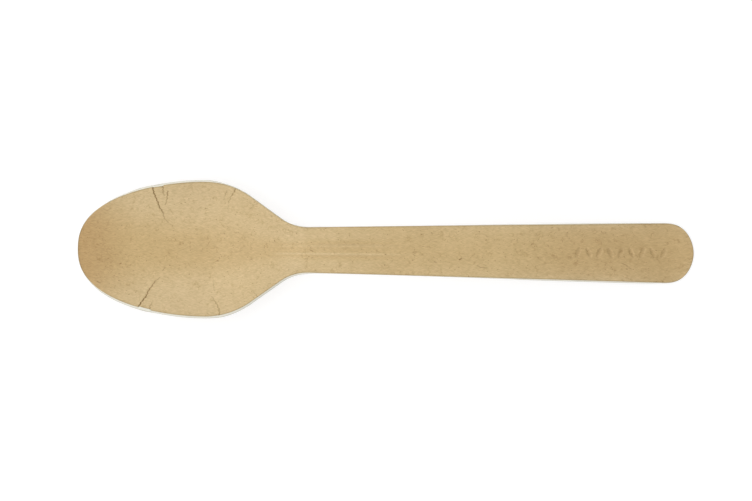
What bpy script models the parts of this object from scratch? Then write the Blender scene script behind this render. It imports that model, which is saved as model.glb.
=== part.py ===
"""A disposable spoon pressed from one sheet of laminated paper board.

The spoon lies on a table with its bowl upwards. +X runs from the bowl's tip to the end of the handle,
+Y to one side and +Z up. The origin is on the table, under the middle of the spoon's bounding box.
Lengths are metres and angles radians. Places along the spoon are measured from the tip of its upper face.
"""

import math

import bmesh
import bpy

# The sheet: its upper face is shaped, and the board lies under it at an even thickness.
BOARD = 0.0009
PAPER_COLOUR = (0.584, 0.418, 0.212, 1.0)
PAPER_ROUGHNESS = 0.8

# The outline of the upper face from above: a round nose, shoulder arcs, straight flanks that run
# into the neck's fillets, a handle that widens slowly, and a blunt round end.
LENGTH = 0.160
WIDEST_AT = 0.0329
BOWL_HALF_WIDTH = 0.01743
NOSE_FULLNESS = 1.91
NOSE_BLUNTNESS = 2.41
SHOULDER_RADIUS = 0.0205
FLANK_ANGLE = math.radians(35.5)
NECK_HALF_WIDTH = 0.00578
NECK_FILLET = 0.0120
HANDLE_HALF_WIDTH = 0.0077
END_LENGTH = 0.0078
END_FULLNESS = 2.64
END_BLUNTNESS = 1.81

# The line of the sheet's middle in side view, above its lowest point.
TIP_RISE = 0.0050
TIP_SLOPE = 0.12
LOW_BEFORE_WIDEST = 0.0019
TOP_BEHIND_NECK = 0.0100
NECK_RISE = 0.0062
END_SLOPE = 0.075

# How far the edges stand above that line: deep in the bowl, shallow at the neck, deeper again where the
# thumb presses on the handle, and nearly flat at its end.
RIM_LIFT = 0.15
BOWL_DEPTH = 0.0060
NECK_DEPTH = 0.0005
NECK_DEPTH_SLOPE = 0.012
SHALLOW_BEHIND_NECK = 0.0062
HANDLE_DEPTH = 0.00095
DEEPEST_BEFORE_END = 0.0200
END_DEPTH = 0.00025
END_DISH = 0.0060

# How the sheet curls up to its edges: 0 is a parabola, above 0 it is steepest at the rim, and at -1 the rim
# lies flat, as it nearly does just behind the neck.
BOWL_CURL = 0.0
SHOULDER_CURL = -0.5
NECK_CURL = -0.85
HANDLE_CURL = 0.5
SHOULDER_BEFORE_NECK = 0.0120
SHOULDER_BEHIND_NECK = 0.0040
FLAT_RIM_BEHIND_NECK = 0.0120
CURLED_BEFORE_END = 0.0350

# The flats that the spoon rests on, under the bowl and under the end of the handle.
FLAT_SINK = 0.00012
FLAT_BLEND = 0.00012

# The raised bead that stiffens the neck: two crests with a shallow dip between them. It rises ahead of the
# neck, in the back of the bowl, and runs out slowly behind it.
BEAD_AHEAD = 0.0108
BEAD_RUN_IN = 0.0040
BEAD_BEHIND = 0.0082
BEAD_RUN_OUT = 0.0280
BEAD_HEIGHT = 0.00030
BEAD_HALF_WIDTH = 0.00105
BEAD_SIDE = 0.00060
BEAD_DIP = 0.35

# Creases where the flat board was gathered into the bowl. Each one is given by the place of its mouth
# on the rim as a share of the way to the neck, its side, how far it reaches towards the middle as a share
# of the half width, how far it drifts along the bowl as a share of the way to the neck, and its width.
CREASES = (
    (0.323, 1, 0.40, 0.047, 0.00042),
    (0.366, 1, 0.13, 0.003, 0.00026),
    (0.384, 1, 0.24, -0.009, 0.00030),
    (0.684, 1, 0.44, -0.034, 0.00036),
    (0.645, 1, 0.17, -0.017, 0.00028),
    (0.779, 1, 0.16, -0.034, 0.00024),
    (0.267, -1, 0.52, 0.092, 0.00042),
    (0.314, -1, 0.16, 0.012, 0.00030),
    (0.613, -1, 0.30, -0.034, 0.00040),
    (0.782, -1, 0.19, -0.035, 0.00024),
)
CREASE_POINTS = 7
CREASE_TAIL = 0.35
WELD = 0.000001

# A row of plain grains pressed into the handle, leaning to either side in turn.
GRAIN_ROW = 0.0230
GRAIN_ROW_BEFORE_END = 0.0075
GRAIN_PITCH = 0.0028
GRAIN_LENGTH = 0.0030
GRAIN_WIDTH = 0.0012
GRAIN_DEPTH = 0.00014
GRAIN_LEAN = math.radians(24)
GRAIN_SIDES = 14
GRAIN_RINGS = 8

# The grid that is pressed: how finely it is divided, and how far its ends' curve is felt along it.
BOWL_STATIONS = 40
HANDLE_STATIONS = 42
ROWS = 22
NOSE_CORNER = 0.62
END_CORNER = 0.80
NOSE_BOW = 0.0240
END_BOW = 0.0120

# Places that follow from the sizes above.
FLANK_FROM = WIDEST_AT + SHOULDER_RADIUS * math.sin(FLANK_ANGLE)
FLANK_HALF_WIDTH = BOWL_HALF_WIDTH - SHOULDER_RADIUS * (1 - math.cos(FLANK_ANGLE))
NECK_CORNER = FLANK_FROM + (FLANK_HALF_WIDTH - NECK_HALF_WIDTH) / math.tan(FLANK_ANGLE)
END_FROM = LENGTH - END_LENGTH
TAPER = (HANDLE_HALF_WIDTH - NECK_HALF_WIDTH) / (END_FROM - NECK_CORNER)
TAPER_ANGLE = math.atan(TAPER)
FILLET_TANGENT = NECK_FILLET * math.tan((FLANK_ANGLE + TAPER_ANGLE) / 2)
FILLET_FROM = NECK_CORNER - FILLET_TANGENT * math.cos(FLANK_ANGLE)
NECK_AT = NECK_CORNER + FILLET_TANGENT * math.cos(TAPER_ANGLE)
BOWL_LOW_AT = WIDEST_AT - LOW_BEFORE_WIDEST
END_DISH_FROM = LENGTH - END_DISH
END_DROP = (END_SLOPE * END_DISH) ** 2 / (4 * END_DEPTH)


def taper_half_width(x):
    return NECK_HALF_WIDTH + TAPER * (x - NECK_CORNER)


def half_width(x):
    """Half the width of the upper face at a place along the spoon."""
    if x <= WIDEST_AT:
        back = 1 - max(x, 0.0) / WIDEST_AT
        return BOWL_HALF_WIDTH * (1 - back**NOSE_FULLNESS) ** (1 / NOSE_BLUNTNESS)
    if x <= FLANK_FROM:
        return BOWL_HALF_WIDTH - SHOULDER_RADIUS + math.sqrt(SHOULDER_RADIUS**2 - (x - WIDEST_AT) ** 2)
    if x <= FILLET_FROM:
        return FLANK_HALF_WIDTH - math.tan(FLANK_ANGLE) * (x - FLANK_FROM)
    if x <= NECK_AT:
        centre_x = NECK_AT - NECK_FILLET * math.sin(TAPER_ANGLE)
        centre_y = taper_half_width(NECK_AT) + NECK_FILLET * math.cos(TAPER_ANGLE)
        return centre_y - math.sqrt(NECK_FILLET**2 - (x - centre_x) ** 2)
    if x <= END_FROM:
        return taper_half_width(x)
    out = min((x - END_FROM) / END_LENGTH, 1.0)
    return HANDLE_HALF_WIDTH * (1 - out**END_FULLNESS) ** (1 / END_BLUNTNESS)


def nose_depth(y):
    """How far behind the tip the nose's outline lies at a distance from the middle."""
    share = (1 - (y / BOWL_HALF_WIDTH) ** NOSE_BLUNTNESS) ** (1 / NOSE_FULLNESS)
    return WIDEST_AT * (1 - share)


def end_depth(y):
    """How far before the end of the handle its outline lies at a distance from the middle."""
    share = (1 - (y / HANDLE_HALF_WIDTH) ** END_BLUNTNESS) ** (1 / END_FULLNESS)
    return END_LENGTH * (1 - share)


def ease(t):
    """A smooth step from 0 to 1."""
    t = min(max(t, 0.0), 1.0)
    return t * t * (3 - 2 * t)


def curve_through(stations, x):
    """Height at x of the smooth curve through stations of place, height and slope."""
    for (x0, z0, slope0), (x1, z1, slope1) in zip(stations, stations[1:]):
        if x <= x1:
            break
    span = x1 - x0
    t = (x - x0) / span
    heights = z0 * (1 + 2 * t) * (1 - t) ** 2 + z1 * t * t * (3 - 2 * t)
    slopes = slope0 * t * (1 - t) ** 2 - slope1 * t * t * (1 - t)
    return heights + span * slopes


MIDDLE_LINE = (
    (0.0, TIP_RISE, -TIP_SLOPE),
    (BOWL_LOW_AT, 0.0, 0.0),
    (NECK_AT + TOP_BEHIND_NECK, NECK_RISE, 0.0),
    (END_DISH_FROM, END_DROP, -END_SLOPE),
    (LENGTH, END_DROP - END_SLOPE * END_DISH, -END_SLOPE),
)
EDGE_RISE = (
    (0.0, 0.0, RIM_LIFT),
    (BOWL_LOW_AT, BOWL_DEPTH, 0.0),
    (NECK_AT + SHALLOW_BEHIND_NECK, NECK_DEPTH, -NECK_DEPTH_SLOPE),
    (LENGTH - DEEPEST_BEFORE_END, HANDLE_DEPTH, 0.0),
    (LENGTH, END_DEPTH, 0.0),
)
EDGE_CURL = (
    (0.0, BOWL_CURL, 0.0),
    (WIDEST_AT, BOWL_CURL, 0.0),
    (NECK_AT - SHOULDER_BEFORE_NECK, SHOULDER_CURL, 0.0),
    (NECK_AT + SHOULDER_BEHIND_NECK, SHOULDER_CURL, 0.0),
    (NECK_AT + FLAT_RIM_BEHIND_NECK, NECK_CURL, 0.0),
    (LENGTH - CURLED_BEFORE_END, HANDLE_CURL, 0.0),
    (LENGTH, HANDLE_CURL, 0.0),
)


def rest_on_table(z):
    """Flattens what lies lowest, and blends the flat into the rest."""
    above = z - FLAT_SINK
    if above <= 0:
        return 0.0
    if above < FLAT_BLEND:
        return above**2 / (2 * FLAT_BLEND)
    return above - FLAT_BLEND / 2


def bead(x, y):
    """Height of the neck's bead above the channel."""
    risen = ease((x - NECK_AT + BEAD_AHEAD) / BEAD_RUN_IN)
    along = risen * (1 - ease((x - NECK_AT - BEAD_BEHIND) / BEAD_RUN_OUT))
    off = abs(y) / BEAD_HALF_WIDTH
    if off < 1:
        return BEAD_HEIGHT * along * (1 - BEAD_DIP * (1 - off * off) ** 2)
    return BEAD_HEIGHT * along * (1 - ease((abs(y) - BEAD_HALF_WIDTH) / BEAD_SIDE))


def face_height(x, y):
    """Height of the upper face above the table."""
    across = abs(y) / half_width(x) if 0 < x < LENGTH else 1.0
    curl = curve_through(EDGE_CURL, x)
    section = (1 - curl) * across**2 + curl * across**4
    dish = max(0.0, (x - END_DISH_FROM) / END_DISH) ** 2
    shape = curve_through(MIDDLE_LINE, x) + curve_through(EDGE_RISE, x) * (dish + (1 - dish) * section)
    return BOARD + rest_on_table(shape) + bead(x, y)


def grid_point(station, v):
    """Place on the sheet of a grid point: station runs along it, v from -1 to 1 across it.

    The grid's first and last lines are bent to the nose's and the end's outline, and the lines
    between straighten out over a short way.
    """
    nose = max(0.0, 1 - station / NOSE_BOW) ** 2
    end = max(0.0, 1 - (LENGTH - station) / END_BOW) ** 2

    def bent(share):
        nose_part = nose * nose_depth(share * NOSE_CORNER * BOWL_HALF_WIDTH)
        return station + nose_part - end * end_depth(share * END_CORNER * HANDLE_HALF_WIDTH)

    return bent(abs(v)), v * half_width(bent(1.0))


def station_at(u):
    """Distance along the sheet of the grid's line number u: closer together in the bowl."""
    if u <= BOWL_STATIONS:
        return NECK_AT * u / BOWL_STATIONS
    return NECK_AT + (LENGTH - NECK_AT) * (u - BOWL_STATIONS) / HANDLE_STATIONS


def collection(name):
    made = bpy.data.collections.new(name)
    bpy.context.scene.collection.children.link(made)
    return made


def paper():
    made = bpy.data.materials.new("kraft_board")
    made.use_nodes = True
    shader = made.node_tree.nodes["Principled BSDF"]
    shader.inputs["Base Color"].default_value = PAPER_COLOUR
    shader.inputs["Roughness"].default_value = PAPER_ROUGHNESS
    shader.inputs["Metallic"].default_value = 0.0
    return made


def pressed_sheet(group):
    """The spoon's blank: a flat grid, cut to the outline and pressed to shape, with its board's thickness."""
    lines = BOWL_STATIONS + HANDLE_STATIONS
    sheet = bmesh.new()
    bmesh.ops.create_grid(sheet, x_segments=lines, y_segments=ROWS, size=1.0)
    for vert in sheet.verts:
        u = round((vert.co.x + 1) / 2 * lines)
        v = round((vert.co.y + 1) / 2 * ROWS) * 2 / ROWS - 1
        x, y = grid_point(station_at(u), v)
        vert.co = (x, y, face_height(x, y))
    mesh = bpy.data.meshes.new("spoon")
    sheet.to_mesh(mesh)
    sheet.free()
    mesh.materials.append(paper())
    spoon = bpy.data.objects.new("spoon", mesh)
    group.objects.link(spoon)
    board = spoon.modifiers.new("board", "SOLIDIFY")
    board.thickness = BOARD
    board.offset = -1.0
    board.use_even_offset = True
    board.use_quality_normals = True
    return spoon


def hide_as_cutter(cutter, cutters):
    cutters.objects.link(cutter)
    cutter.display_type = "WIRE"
    cutter.hide_render = True


def crease_cutter(number, mouth, side, reach, drift, width, cutters):
    """A thin tapering rod along the upper face, from outside the rim towards the middle."""
    rod = bpy.data.curves.new(f"crease_{number}", "CURVE")
    rod.dimensions = "3D"
    rod.bevel_depth = width / 2
    rod.bevel_resolution = 0
    rod.use_fill_caps = True
    line = rod.splines.new("POLY")
    line.points.add(CREASE_POINTS - 1)
    mouth_x = mouth * NECK_AT
    rim = half_width(mouth_x)
    outside = 1 + BOARD / rim
    for index, point in enumerate(line.points):
        t = index / (CREASE_POINTS - 1)
        x = mouth_x + drift * NECK_AT * t * (2 - t)
        y = side * half_width(x) * (outside - (reach + outside - 1) * t)
        point.co = (x, y, face_height(x, y), 1.0)
        point.radius = 1 - (1 - CREASE_TAIL) * t
    shape = bpy.data.objects.new(rod.name, rod)
    cutters.objects.link(shape)
    mesh = bpy.data.meshes.new_from_object(shape.evaluated_get(bpy.context.evaluated_depsgraph_get()))
    bpy.data.objects.remove(shape)
    bpy.data.curves.remove(rod)
    weld = bmesh.new()
    weld.from_mesh(mesh)
    bmesh.ops.remove_doubles(weld, verts=weld.verts, dist=WELD)
    weld.to_mesh(mesh)
    weld.free()
    hide_as_cutter(bpy.data.objects.new(f"crease_{number}", mesh), cutters)


def grain_cutter(number, x, lean, cutters):
    """An ellipsoid that dips into the handle's upper face, on the face's own slope."""
    tall = 2 * GRAIN_DEPTH
    spread = math.sqrt(1 - (1 - GRAIN_DEPTH / tall) ** 2)
    ball = bmesh.new()
    bmesh.ops.create_uvsphere(ball, u_segments=GRAIN_SIDES, v_segments=GRAIN_RINGS, radius=1.0)
    for vert in ball.verts:
        vert.co.x *= GRAIN_WIDTH / 2 / spread
        vert.co.y *= GRAIN_LENGTH / 2 / spread
        vert.co.z *= tall
    mesh = bpy.data.meshes.new(f"grain_{number}")
    ball.to_mesh(mesh)
    ball.free()
    grain = bpy.data.objects.new(mesh.name, mesh)
    step = GRAIN_WIDTH
    slope = (face_height(x + step, 0.0) - face_height(x - step, 0.0)) / (2 * step)
    grain.rotation_euler = (0.0, -math.atan(slope), lean)
    grain.location = (x, 0.0, face_height(x, 0.0) + tall - GRAIN_DEPTH)
    hide_as_cutter(grain, cutters)


def press_creases_and_grains(spoon, cutters):
    for number, (mouth, side, reach, drift, width) in enumerate(CREASES, start=1):
        crease_cutter(number, mouth, side, reach, drift, width, cutters)
    count = int(GRAIN_ROW / GRAIN_PITCH) + 1
    first = LENGTH - GRAIN_ROW_BEFORE_END - (GRAIN_ROW + (count - 1) * GRAIN_PITCH) / 2
    for number in range(count):
        lean = GRAIN_LEAN if number % 2 else -GRAIN_LEAN
        grain_cutter(number + 1, first + number * GRAIN_PITCH, lean, cutters)
    cut = spoon.modifiers.new("creases_and_grains", "BOOLEAN")
    cut.operation = "DIFFERENCE"
    cut.operand_type = "COLLECTION"
    cut.collection = cutters


def stand_on_origin(spoon, cutters):
    """Moves the spoon and its cutters so that the origin is under the middle of its box."""
    bpy.context.view_layer.update()
    shaped = spoon.evaluated_get(bpy.context.evaluated_depsgraph_get())
    places = [corner[0] for corner in shaped.bound_box]
    middle = (min(places) + max(places)) / 2
    for thing in (spoon, *cutters.objects):
        thing.location.x -= middle


def build():
    for thing in list(bpy.data.objects):
        bpy.data.objects.remove(thing)
    group = collection("paper_spoon")
    cutters = collection("cutters")
    spoon = pressed_sheet(group)
    press_creases_and_grains(spoon, cutters)
    stand_on_origin(spoon, cutters)
    spoon.data.shade_smooth()


build()
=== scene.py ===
# %% [markdown]
# # A paper spoon, pressed from kraft board
#
# The real spoon is one piece. Plies of white pulp with a brown kraft liner on either face are cut to a
# spoon's outline and pressed once between two warm dies. Everything that one sees on it comes from that one
# stroke: the bowl, the bead at the neck, the hollow of the handle, and the creases where the flat rim had to
# be gathered. This lesson builds the blank as a flat grid, presses it with a formula, gives it the board's
# thickness, adds the creases as real grooves, and then dresses its faces and its cut edge.
#
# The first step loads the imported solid. It fixes where the spoon lies, and the new mesh will stand for it.

# %% Load the frame
import math

import bmesh
import bpy
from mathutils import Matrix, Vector


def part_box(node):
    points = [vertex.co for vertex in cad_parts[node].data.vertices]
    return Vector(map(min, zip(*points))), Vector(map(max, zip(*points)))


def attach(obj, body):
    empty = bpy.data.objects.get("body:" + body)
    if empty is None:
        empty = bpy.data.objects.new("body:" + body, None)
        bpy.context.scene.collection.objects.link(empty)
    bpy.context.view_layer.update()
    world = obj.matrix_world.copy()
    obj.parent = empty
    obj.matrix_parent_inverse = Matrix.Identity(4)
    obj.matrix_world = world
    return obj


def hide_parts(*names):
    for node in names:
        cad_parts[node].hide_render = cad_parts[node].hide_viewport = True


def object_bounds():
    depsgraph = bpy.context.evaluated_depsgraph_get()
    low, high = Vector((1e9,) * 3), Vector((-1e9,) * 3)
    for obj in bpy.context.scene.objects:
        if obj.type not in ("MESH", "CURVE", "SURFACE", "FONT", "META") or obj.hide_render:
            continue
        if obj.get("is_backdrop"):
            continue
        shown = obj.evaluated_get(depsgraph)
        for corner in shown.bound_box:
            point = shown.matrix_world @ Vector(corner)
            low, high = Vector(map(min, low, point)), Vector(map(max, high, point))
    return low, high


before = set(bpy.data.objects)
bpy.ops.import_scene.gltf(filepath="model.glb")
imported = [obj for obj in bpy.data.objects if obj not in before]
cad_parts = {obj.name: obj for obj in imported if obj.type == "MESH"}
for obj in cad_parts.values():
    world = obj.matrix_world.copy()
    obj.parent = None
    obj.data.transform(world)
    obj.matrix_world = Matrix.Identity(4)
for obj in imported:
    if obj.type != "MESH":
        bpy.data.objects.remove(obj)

cad_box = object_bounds()
spoon_low, spoon_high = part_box("spoon")
packed_length = spoon_high.x - spoon_low.x
print("frame holds", sorted(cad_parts), "and is", round(packed_length * 1000, 2), "mm long")

# %% [markdown]
# ## The outline of the blank
#
# A die maker draws the outline with few elements: a round nose, shoulder arcs, straight flanks, a fillet
# into the neck, a handle that widens slowly and a blunt end. A traced polygon would also give the shape, but
# nobody could change it afterwards. So the outline is a formula for half the width at each place along the
# spoon, and a handful of sizes drive it. Places are measured in metres from the tip of the upper face.

# %% Outline sizes
MM = 0.001
BOARD = 0.9 * MM
LENGTH = 160.0 * MM
WIDEST_AT = 32.9 * MM
BOWL_HALF_WIDTH = 17.43 * MM
NOSE_FULLNESS = 1.91
NOSE_BLUNTNESS = 2.41
SHOULDER_RADIUS = 20.5 * MM
FLANK_ANGLE = math.radians(35.5)
NECK_HALF_WIDTH = 5.78 * MM
NECK_FILLET = 12.0 * MM
HANDLE_HALF_WIDTH = 7.7 * MM
END_LENGTH = 7.8 * MM
END_FULLNESS = 2.64
END_BLUNTNESS = 1.81
print("the face is", LENGTH / MM, "mm long and", round(2 * BOWL_HALF_WIDTH / MM, 2), "mm wide")

# %% Where the outline's elements meet
flank_from = WIDEST_AT + SHOULDER_RADIUS * math.sin(FLANK_ANGLE)
flank_half_width = BOWL_HALF_WIDTH - SHOULDER_RADIUS * (1 - math.cos(FLANK_ANGLE))
neck_corner = flank_from + (flank_half_width - NECK_HALF_WIDTH) / math.tan(FLANK_ANGLE)
end_from = LENGTH - END_LENGTH
taper = (HANDLE_HALF_WIDTH - NECK_HALF_WIDTH) / (end_from - neck_corner)
taper_angle = math.atan(taper)
fillet_tangent = NECK_FILLET * math.tan((FLANK_ANGLE + taper_angle) / 2)
fillet_from = neck_corner - fillet_tangent * math.cos(FLANK_ANGLE)
neck_at = neck_corner + fillet_tangent * math.cos(taper_angle)
print("the neck lies", round(neck_at / MM, 1), "mm behind the tip")


# %% Half the width along the spoon
def taper_half_width(x):
    """Half the width on the straight part of the handle."""
    return NECK_HALF_WIDTH + taper * (x - neck_corner)


def half_width(x):
    """Half the width of the upper face at a place along the spoon."""
    if x <= WIDEST_AT:
        back = 1 - max(x, 0.0) / WIDEST_AT
        return BOWL_HALF_WIDTH * (1 - back**NOSE_FULLNESS) ** (1 / NOSE_BLUNTNESS)
    if x <= flank_from:
        return BOWL_HALF_WIDTH - SHOULDER_RADIUS + math.sqrt(SHOULDER_RADIUS**2 - (x - WIDEST_AT) ** 2)
    if x <= fillet_from:
        return flank_half_width - math.tan(FLANK_ANGLE) * (x - flank_from)
    if x <= neck_at:
        centre_x = neck_at - NECK_FILLET * math.sin(taper_angle)
        centre_y = taper_half_width(neck_at) + NECK_FILLET * math.cos(taper_angle)
        return centre_y - math.sqrt(NECK_FILLET**2 - (x - centre_x) ** 2)
    if x <= end_from:
        return taper_half_width(x)
    out = min((x - end_from) / END_LENGTH, 1.0)
    return HANDLE_HALF_WIDTH * (1 - out**END_FULLNESS) ** (1 / END_BLUNTNESS)


print("the neck is", round(2 * half_width(neck_at) / MM, 2), "mm wide")

# %% [markdown]
# ## The shape that the dies press
#
# The press bends the blank in two ways at once: its middle line rises and falls along the spoon, and its
# edges stand up from that line. Both are smooth curves through a few stations, each with a place, a height
# and a slope. A third curve says how the sheet curls up to its edges: steepest at the rim, or with the rim
# lying flat, as it nearly does behind the neck. Sculpting would be quicker to start, but a formula keeps the
# bowl free of dents. Two small flats, under the bowl and under the end of the handle, carry the spoon.

# %% Sizes of the pressing
TIP_RISE = 5.0 * MM
TIP_SLOPE = 0.12
LOW_BEFORE_WIDEST = 1.9 * MM
TOP_BEHIND_NECK = 10.0 * MM
NECK_RISE = 6.2 * MM
END_SLOPE = 0.075
RIM_LIFT = 0.15
BOWL_DEPTH = 6.0 * MM
NECK_DEPTH = 0.5 * MM
NECK_DEPTH_SLOPE = 0.012
SHALLOW_BEHIND_NECK = 6.2 * MM
HANDLE_DEPTH = 0.95 * MM
DEEPEST_BEFORE_END = 20.0 * MM
END_DEPTH = 0.25 * MM
END_DISH = 6.0 * MM
BOWL_CURL = 0.0
SHOULDER_CURL = -0.5
NECK_CURL = -0.85
HANDLE_CURL = 0.5
SHOULDER_BEFORE_NECK = 12.0 * MM
SHOULDER_BEHIND_NECK = 4.0 * MM
FLAT_RIM_BEHIND_NECK = 12.0 * MM
CURLED_BEFORE_END = 35.0 * MM
FLAT_SINK = 0.12 * MM
FLAT_BLEND = 0.12 * MM

bowl_low_at = WIDEST_AT - LOW_BEFORE_WIDEST
end_dish_from = LENGTH - END_DISH
end_drop = (END_SLOPE * END_DISH) ** 2 / (4 * END_DEPTH)
print("the bowl is lowest", round(bowl_low_at / MM, 1), "mm behind the tip")

# %% Stations of the three curves
MIDDLE_LINE = (
    # place, height, slope
    (0.0, TIP_RISE, -TIP_SLOPE),
    (bowl_low_at, 0.0, 0.0),
    (neck_at + TOP_BEHIND_NECK, NECK_RISE, 0.0),
    (end_dish_from, end_drop, -END_SLOPE),
    (LENGTH, end_drop - END_SLOPE * END_DISH, -END_SLOPE),
)
EDGE_RISE = (
    (0.0, 0.0, RIM_LIFT),
    (bowl_low_at, BOWL_DEPTH, 0.0),
    (neck_at + SHALLOW_BEHIND_NECK, NECK_DEPTH, -NECK_DEPTH_SLOPE),
    (LENGTH - DEEPEST_BEFORE_END, HANDLE_DEPTH, 0.0),
    (LENGTH, END_DEPTH, 0.0),
)
EDGE_CURL = (
    (0.0, BOWL_CURL, 0.0),
    (WIDEST_AT, BOWL_CURL, 0.0),
    (neck_at - SHOULDER_BEFORE_NECK, SHOULDER_CURL, 0.0),
    (neck_at + SHOULDER_BEHIND_NECK, SHOULDER_CURL, 0.0),
    (neck_at + FLAT_RIM_BEHIND_NECK, NECK_CURL, 0.0),
    (LENGTH - CURLED_BEFORE_END, HANDLE_CURL, 0.0),
    (LENGTH, HANDLE_CURL, 0.0),
)
print("stations:", [len(curve) for curve in (MIDDLE_LINE, EDGE_RISE, EDGE_CURL)])


# %% A smooth curve through stations
def ease(t):
    """A smooth step from 0 to 1."""
    t = min(max(t, 0.0), 1.0)
    return t * t * (3 - 2 * t)


def curve_through(stations, x):
    """Height at x of the smooth curve through stations of place, height and slope."""
    for (x0, z0, slope0), (x1, z1, slope1) in zip(stations, stations[1:]):
        if x <= x1:
            break
    span = x1 - x0
    t = (x - x0) / span
    heights = z0 * (1 + 2 * t) * (1 - t) ** 2 + z1 * t * t * (3 - 2 * t)
    slopes = slope0 * t * (1 - t) ** 2 - slope1 * t * t * (1 - t)
    return heights + span * slopes


print("the middle line is", round(curve_through(MIDDLE_LINE, neck_at) / MM, 2), "mm up at the neck")


# %% Pressed height of the upper face
def rest_on_table(z):
    """Flattens what lies lowest, and blends the flat into the rest."""
    above = z - FLAT_SINK
    if above <= 0:
        return 0.0
    if above < FLAT_BLEND:
        return above**2 / (2 * FLAT_BLEND)
    return above - FLAT_BLEND / 2


def share_across(x, y):
    """0 on the middle line, 1 on the outline."""
    return abs(y) / half_width(x) if 0 < x < LENGTH else 1.0


def pressed_height(x, y):
    """Height of the upper face above the table, without the bead."""
    across = share_across(x, y)
    curl = curve_through(EDGE_CURL, x)
    section = (1 - curl) * across**2 + curl * across**4
    dish = max(0.0, (x - end_dish_from) / END_DISH) ** 2
    shape = curve_through(MIDDLE_LINE, x) + curve_through(EDGE_RISE, x) * (dish + (1 - dish) * section)
    return BOARD + rest_on_table(shape)


print("the tip of the face is", round(pressed_height(0.0, 0.0) / MM, 2), "mm above the table")

# %% [markdown]
# ## The bead at the neck
#
# A flat neck would fold under a full bowl, so the die raises a bead along it: two fine crests with a
# shallow dip between them and a valley on either side. It starts in the back of the bowl and runs out
# slowly along the handle. It is a height that both faces of the board get, and not a rib laid on top,
# because a pressed sheet shows it on its under side too, the other way round.

# %% The bead's height
BEAD_AHEAD = 10.8 * MM
BEAD_RUN_IN = 4.0 * MM
BEAD_BEHIND = 8.2 * MM
BEAD_RUN_OUT = 28.0 * MM
BEAD_HEIGHT = 0.30 * MM
BEAD_HALF_WIDTH = 1.05 * MM
BEAD_SIDE = 0.60 * MM
BEAD_DIP = 0.35


def bead_run(x):
    """0 away from the bead, 1 where it has its full height."""
    risen = ease((x - neck_at + BEAD_AHEAD) / BEAD_RUN_IN)
    return risen * (1 - ease((x - neck_at - BEAD_BEHIND) / BEAD_RUN_OUT))


def bead(x, y):
    """Height of the neck's bead above the channel."""
    off = abs(y) / BEAD_HALF_WIDTH
    if off < 1:
        return BEAD_HEIGHT * bead_run(x) * (1 - BEAD_DIP * (1 - off * off) ** 2)
    return BEAD_HEIGHT * bead_run(x) * (1 - ease((abs(y) - BEAD_HALF_WIDTH) / BEAD_SIDE))


neck_height = pressed_height(neck_at, 0.0) + bead(neck_at, 0.0)
print("the face is", round(neck_height / MM, 2), "mm above the table at the neck")

# %% [markdown]
# ## The creases
#
# Paper can't stretch like steel, so where the flat rim is drawn into a bowl it gathers, and the kraft liner
# cracks along fine lines that run in from the rim. A bump map could suggest them, but from the side they
# would vanish, so each crease is a real groove in the mesh. Each one is a route on the face, from the rim
# inwards, with its breadth, its depth and how much painted shade darkens it, standing in for the shade in a
# groove too fine to hold much. The depth and the painted shade fade towards its inner end.

# %% The creases' routes
def route(*points):
    """A crease's route, given in millimetres from the tip and from the middle line."""
    return [(x * MM, y * MM) for x, y in points]


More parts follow.
